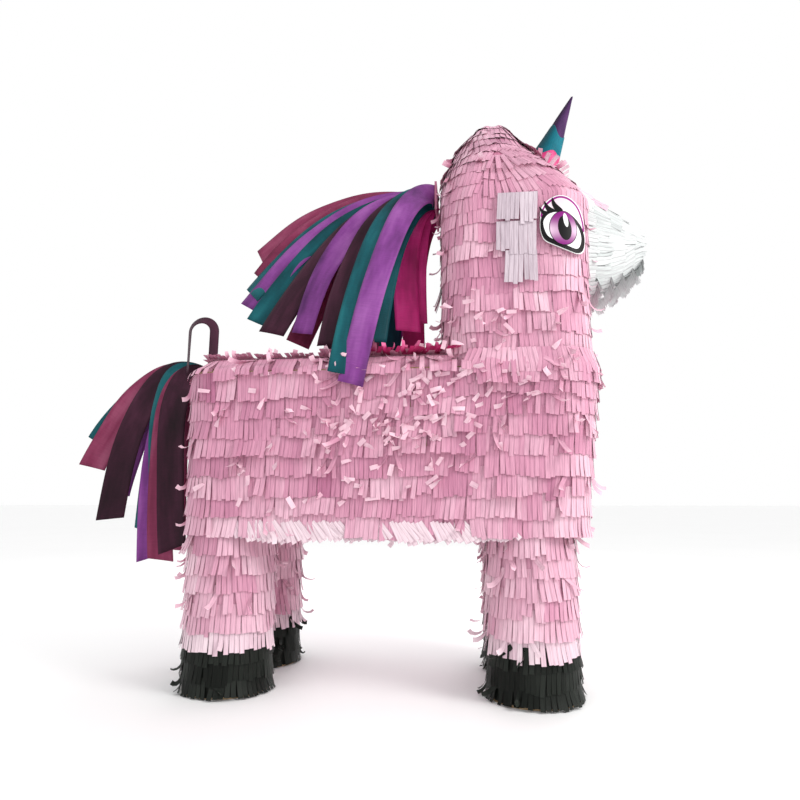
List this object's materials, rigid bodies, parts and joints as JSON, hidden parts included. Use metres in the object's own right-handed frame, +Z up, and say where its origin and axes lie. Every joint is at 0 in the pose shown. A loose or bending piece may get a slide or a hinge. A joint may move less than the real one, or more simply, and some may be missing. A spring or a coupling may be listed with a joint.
{
  "type": "unicorn pinata",
  "caption": "Standing papier-mache unicorn pinata with tissue fringe, paper horn, ribbon mane and tail, and a creased fill flap in its side.",
  "frame": {"origin": "on the floor, under the centre of the object's bounding box", "axes": "+X forward towards the nose, +Y towards the animal's left side, +Z up"},
  "size_m": [0.5708, 0.192, 0.5874],
  "materials": {
    "cardboard": "matte corrugated card",
    "pad_card": "matte card",
    "tissue_pink": "matte crinkled tissue",
    "tissue_white": "matte crinkled tissue",
    "tissue_black": "matte crinkled tissue",
    "eye_print": "printed card, satin",
    "horn_card": "matte card",
    "wrap_teal": "matte tissue wrap",
    "wrap_purple": "matte tissue wrap",
    "wrap_hot_pink": "matte tissue wrap",
    "ribbon_purple": "satin crepe paper",
    "ribbon_teal": "satin crepe paper",
    "ribbon_hot_pink": "satin crepe paper",
    "ribbon_magenta": "satin crepe paper",
    "ribbon_wine": "satin crepe paper"
  },
  "bodies": {
    "body": {"back_fringe": "tissue_pink", "belly_fringe": "tissue_pink", "cheek_left": "tissue_white", "cheek_right": "tissue_white", "crown_patch": "tissue_pink", "eye_left": "eye_print", "eye_right": "eye_print", "front_left_hoof_fringe": "tissue_black", "front_left_leg": "cardboard", "front_left_leg_fringe": "tissue_pink", "front_left_sole": "cardboard", "front_right_hoof_fringe": "tissue_black", "front_right_leg": "cardboard", "front_right_leg_fringe": "tissue_pink", "front_right_sole": "cardboard", "head_fringe": "tissue_pink", "head_shell": "cardboard", "horn_cone": "horn_card", "horn_purple_wrap": "wrap_purple", "horn_ruffle": "wrap_hot_pink", "horn_teal_wrap": "wrap_teal", "mane_magenta": "ribbon_magenta", "mane_pad": "pad_card", "mane_pink": "ribbon_hot_pink", "mane_purple": "ribbon_purple", "mane_teal": "ribbon_teal", "mane_wine": "ribbon_wine", "muzzle_fringe": "tissue_white", "muzzle_shell": "cardboard", "neck_fringe": "tissue_pink", "neck_shell": "cardboard", "nose_fringe": "tissue_white", "rear_left_hoof_fringe": "tissue_black", "rear_left_leg": "cardboard", "rear_left_leg_fringe": "tissue_pink", "rear_left_sole": "cardboard", "rear_right_hoof_fringe": "tissue_black", "rear_right_leg": "cardboard", "rear_right_leg_fringe": "tissue_pink", "rear_right_sole": "cardboard", "shoulder_fringe": "tissue_pink", "tail_loop": "ribbon_wine", "tail_magenta": "ribbon_magenta", "tail_pad": "pad_card", "tail_purple": "ribbon_purple", "tail_teal": "ribbon_teal", "tail_wine": "ribbon_wine", "torso_fringe": "tissue_pink", "torso_shell": "cardboard"},
    "flap": {"fill_flap": "cardboard", "fill_flap_fringe": "tissue_pink"}
  },
  "joints": [
    {"name": "fill_flap_crease", "type": "hinge", "parent": "body", "child": "flap", "pos_m": [-0.02, 0.0845, 0.25675], "axis": [1, 0, 0], "range_deg": [0, 85]}
  ]
}
